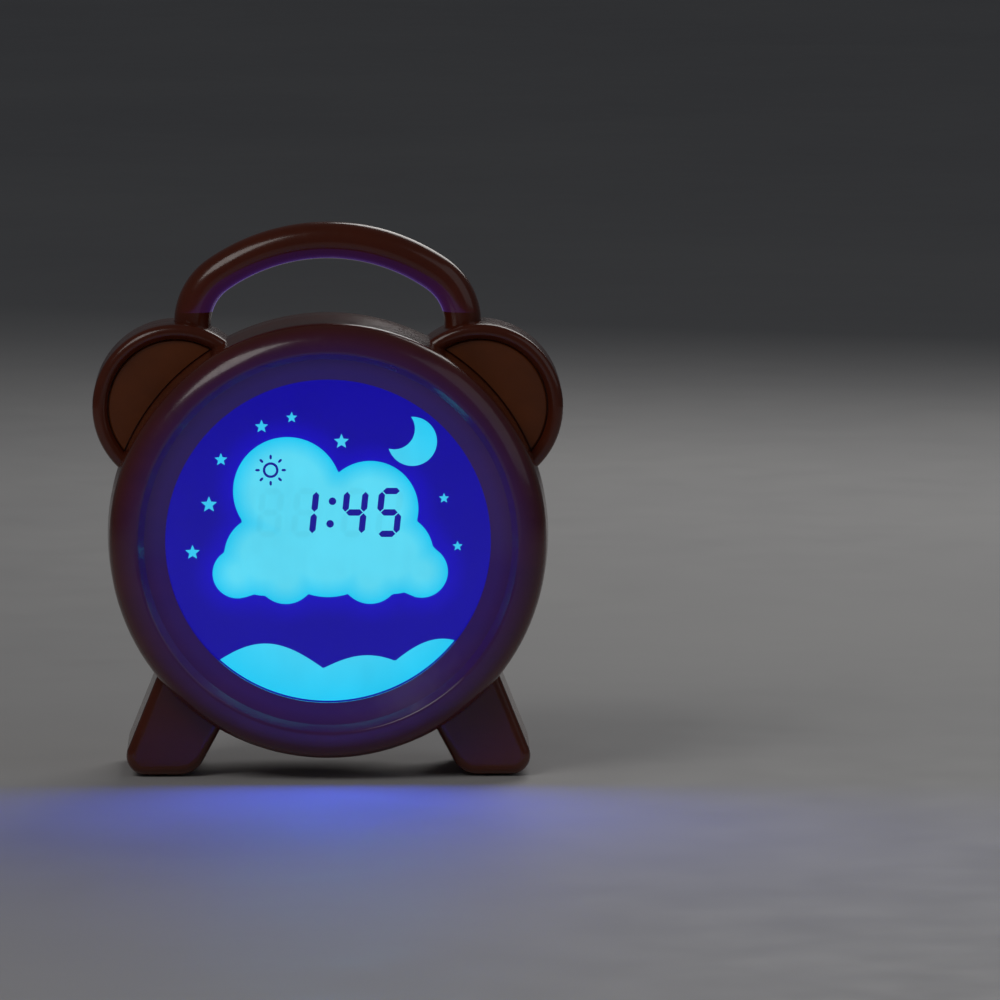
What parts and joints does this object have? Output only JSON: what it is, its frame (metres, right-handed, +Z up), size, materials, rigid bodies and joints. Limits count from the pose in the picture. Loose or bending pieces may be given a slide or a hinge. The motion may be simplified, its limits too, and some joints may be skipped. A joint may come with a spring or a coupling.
{
  "type": "kids alarm clock with night light",
  "caption": "Round bedside alarm clock for a child with a lit round display, two round ears, an arched carrying handle, splayed feet and rear keys.",
  "frame": {"origin": "middle of the footprint on the table, at the lowest point of the rubber pads", "axes": "+Z up, the display faces -Y, +X to the right of someone who looks at the display"},
  "size_m": [0.1568, 0.078, 0.1839],
  "materials": {
    "housing_plastic": "glossy moulded dark chestnut plastic",
    "handle_plastic": "glossy moulded dark chestnut plastic",
    "ear_pad_plastic": "satin orange-brown plastic",
    "window_acrylic": "clear acrylic",
    "mask_film": "printed blue film",
    "lcd_glass": "display glass",
    "light_guide_acrylic": "lit frosted acrylic",
    "white_plastic": "white diffusing plastic",
    "black_plastic": "black moulded plastic",
    "key_plastic": "satin orange-brown plastic",
    "circuit_board": "green circuit board",
    "steel": "plated steel",
    "speaker_paper": "coated paper cone",
    "cell_jacket": "printed cell jacket, plain",
    "foot_rubber": "soft black rubber"
  },
  "bodies": {
    "clock_body": {"front_housing": "housing_plastic", "rear_housing": "housing_plastic", "handle": "handle_plastic", "ear_pad_right": "ear_pad_plastic", "ear_pad_left": "ear_pad_plastic", "display_window": "window_acrylic", "display_mask": "mask_film", "lcd_panel": "lcd_glass", "light_guide": "light_guide_acrylic", "reflector_sheet": "white_plastic", "backlight_leds": "white_plastic", "display_frame": "black_plastic", "frame_screws": "steel", "main_board": "circuit_board", "main_board_parts": "black_plastic", "main_board_screws": "steel", "alarm_switch_body": "black_plastic", "key_board": "circuit_board", "key_switches": "black_plastic", "key_board_screws": "steel", "speaker_frame": "steel", "speaker_cone": "speaker_paper", "speaker_ring": "black_plastic", "speaker_screws": "steel", "battery_cells": "cell_jacket", "battery_springs": "steel", "battery_plates": "steel", "light_switch": "black_plastic", "light_switch_board": "circuit_board", "light_switch_screws": "steel", "foot_pads": "foot_rubber", "housing_screws": "steel"},
    "battery_lid": {"battery_door": "housing_plastic"},
    "light_key": {"light_button": "housing_plastic"},
    "alarm_slider": {"alarm_switch_knob": "key_plastic"},
    "time_key": {"time_button": "key_plastic"},
    "alarm_key": {"alarm_button": "key_plastic"},
    "wake_key": {"wake_button": "key_plastic"},
    "plus_key": {"plus_button": "key_plastic"},
    "minus_key": {"minus_button": "key_plastic"}
  },
  "joints": [
    {"name": "battery_lid_hinge", "type": "hinge", "parent": "clock_body", "child": "battery_lid", "pos_m": [0, 0.0378, 0.04], "axis": [-1, 0, 0], "range_deg": [0, 75]},
    {"name": "light_key_press", "type": "slide", "parent": "clock_body", "child": "light_key", "axis": [0, 0, -1], "range_m": [0, 0.0015], "stiffness_N_per_m": 800},
    {"name": "alarm_slider_travel", "type": "slide", "parent": "clock_body", "child": "alarm_slider", "axis": [1, 0, 0], "range_m": [0, 0.004]},
    {"name": "time_key_press", "type": "slide", "parent": "clock_body", "child": "time_key", "axis": [0, -1, 0], "range_m": [0, 0.001], "stiffness_N_per_m": 1000},
    {"name": "alarm_key_press", "type": "slide", "parent": "clock_body", "child": "alarm_key", "axis": [0, -1, 0], "range_m": [0, 0.001], "stiffness_N_per_m": 1000},
    {"name": "wake_key_press", "type": "slide", "parent": "clock_body", "child": "wake_key", "axis": [0, -1, 0], "range_m": [0, 0.001], "stiffness_N_per_m": 1000},
    {"name": "plus_key_press", "type": "slide", "parent": "clock_body", "child": "plus_key", "axis": [0, -1, 0], "range_m": [0, 0.001], "stiffness_N_per_m": 1000},
    {"name": "minus_key_press", "type": "slide", "parent": "clock_body", "child": "minus_key", "axis": [0, -1, 0], "range_m": [0, 0.001], "stiffness_N_per_m": 1000}
  ]
}
